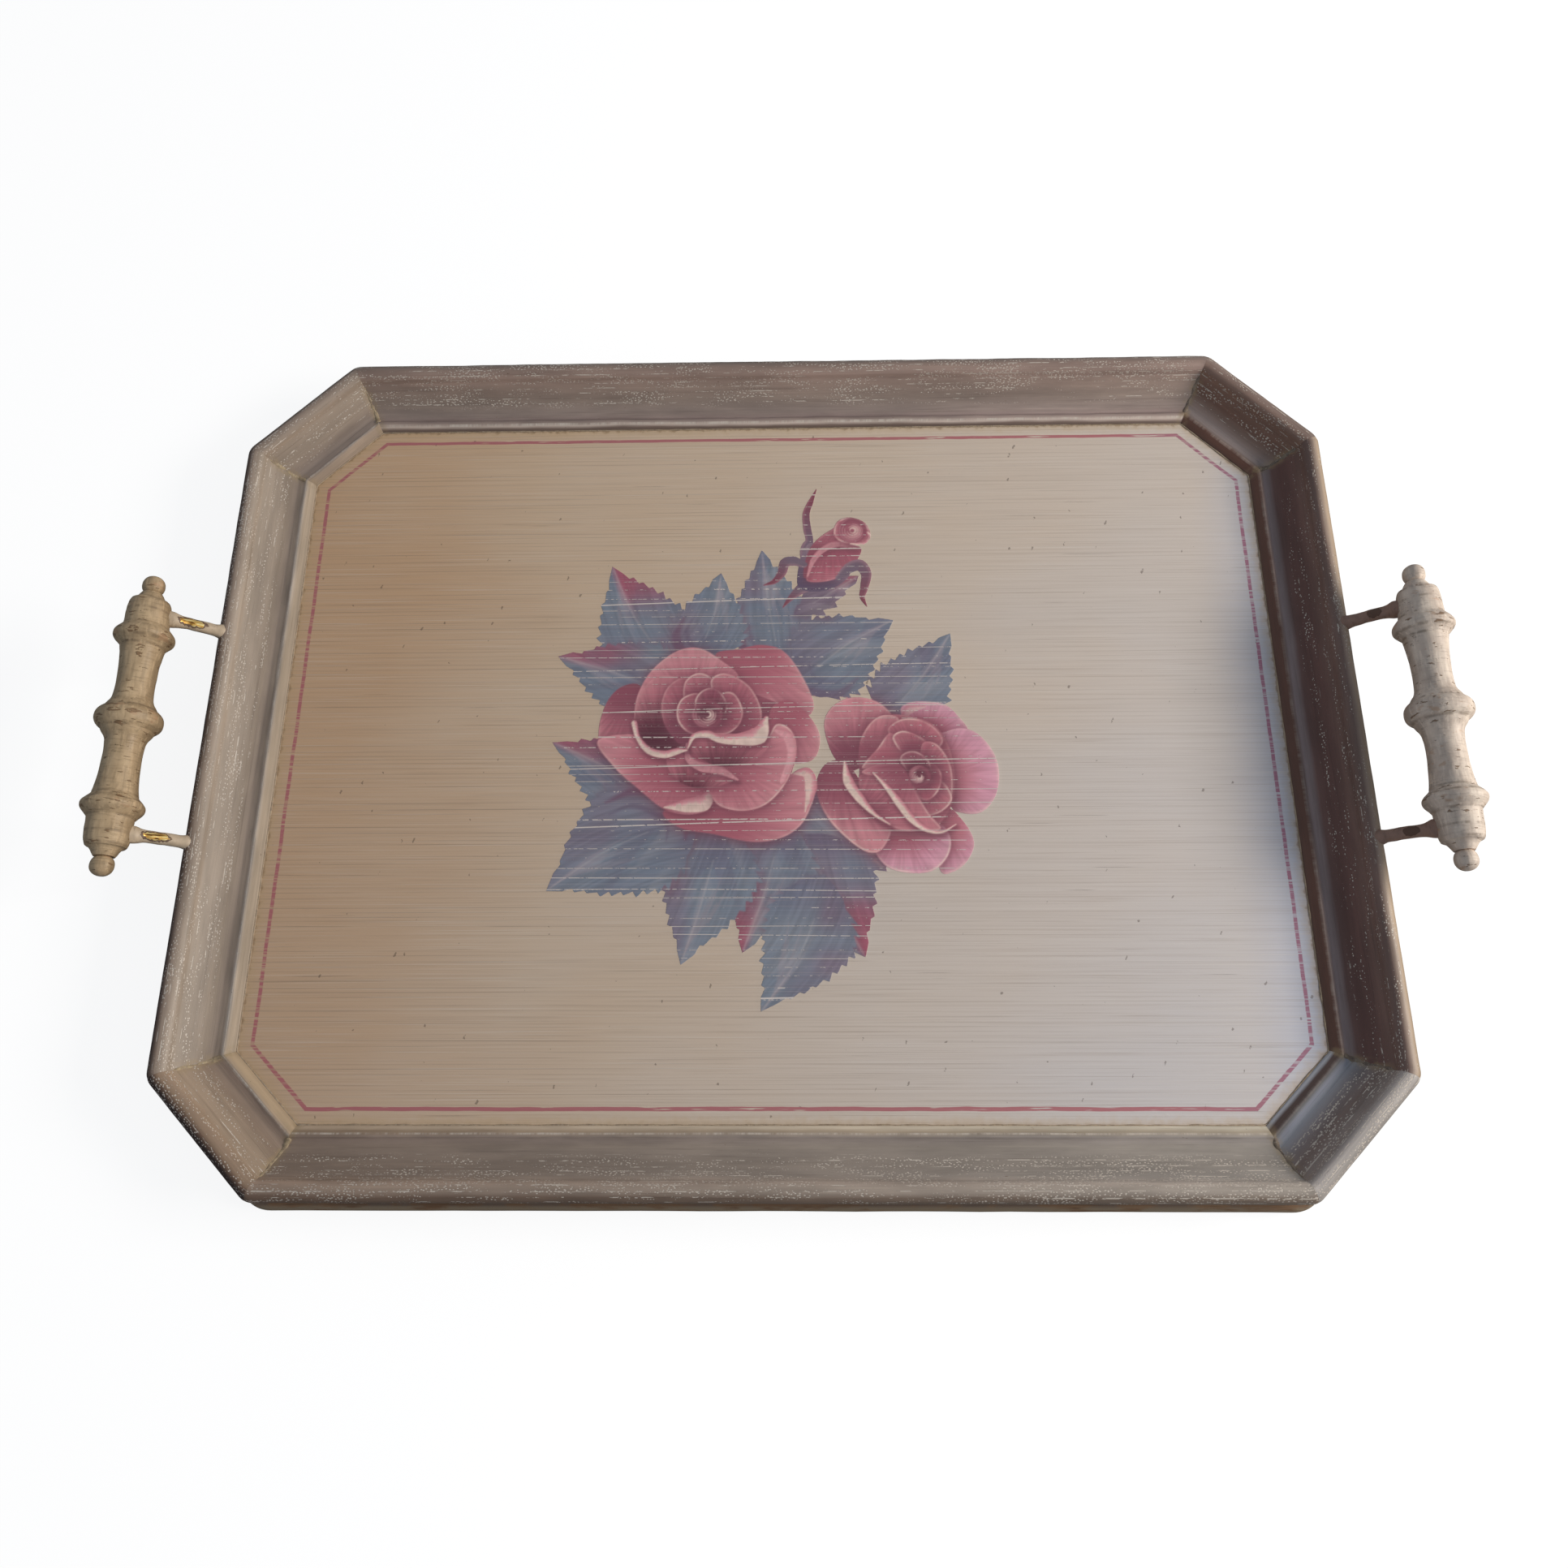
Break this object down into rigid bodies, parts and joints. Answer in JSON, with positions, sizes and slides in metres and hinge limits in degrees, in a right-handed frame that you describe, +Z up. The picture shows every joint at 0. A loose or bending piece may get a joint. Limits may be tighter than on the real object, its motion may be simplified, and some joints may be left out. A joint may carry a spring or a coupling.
{
  "type": "painted wooden serving tray",
  "caption": "Octagonal wooden serving tray with a moulded gallery, painted rose panel and turned hand grips on brass posts.",
  "frame": {"origin": "middle of the underside of the board", "axes": "+X along the tray from the left grip to the right grip, +Y to the back, +Z up out of the painted panel"},
  "size_m": [0.579, 0.3934, 0.0522],
  "materials": {
    "painted_panel": "combed cream paint, satin",
    "painted_rail": "taupe paint rubbed back to cream, satin",
    "painted_grip": "worn cream paint, satin",
    "brass_post": "brass with chipped cream overpaint",
    "steel_fixing": "dull zinc plate"
  },
  "bodies": {
    "root": {"base_board": "painted_panel", "rail_front": "painted_rail", "rail_back": "painted_rail", "rail_left": "painted_rail", "rail_right": "painted_rail", "rail_front_left": "painted_rail", "rail_front_right": "painted_rail", "rail_back_left": "painted_rail", "rail_back_right": "painted_rail", "grip_left": "painted_grip", "grip_right": "painted_grip", "post_left_front": "brass_post", "post_left_back": "brass_post", "post_right_front": "brass_post", "post_right_back": "brass_post", "mitre_nail_1": "steel_fixing", "mitre_nail_2": "steel_fixing", "mitre_nail_3": "steel_fixing", "mitre_nail_4": "steel_fixing", "mitre_nail_5": "steel_fixing", "mitre_nail_6": "steel_fixing", "mitre_nail_7": "steel_fixing", "mitre_nail_8": "steel_fixing", "screw_01": "steel_fixing", "screw_02": "steel_fixing", "screw_03": "steel_fixing", "screw_04": "steel_fixing", "screw_05": "steel_fixing", "screw_06": "steel_fixing", "screw_07": "steel_fixing", "screw_08": "steel_fixing", "screw_09": "steel_fixing", "screw_10": "steel_fixing", "screw_11": "steel_fixing", "screw_12": "steel_fixing", "screw_13": "steel_fixing", "screw_14": "steel_fixing"}
  },
  "joints": []
}
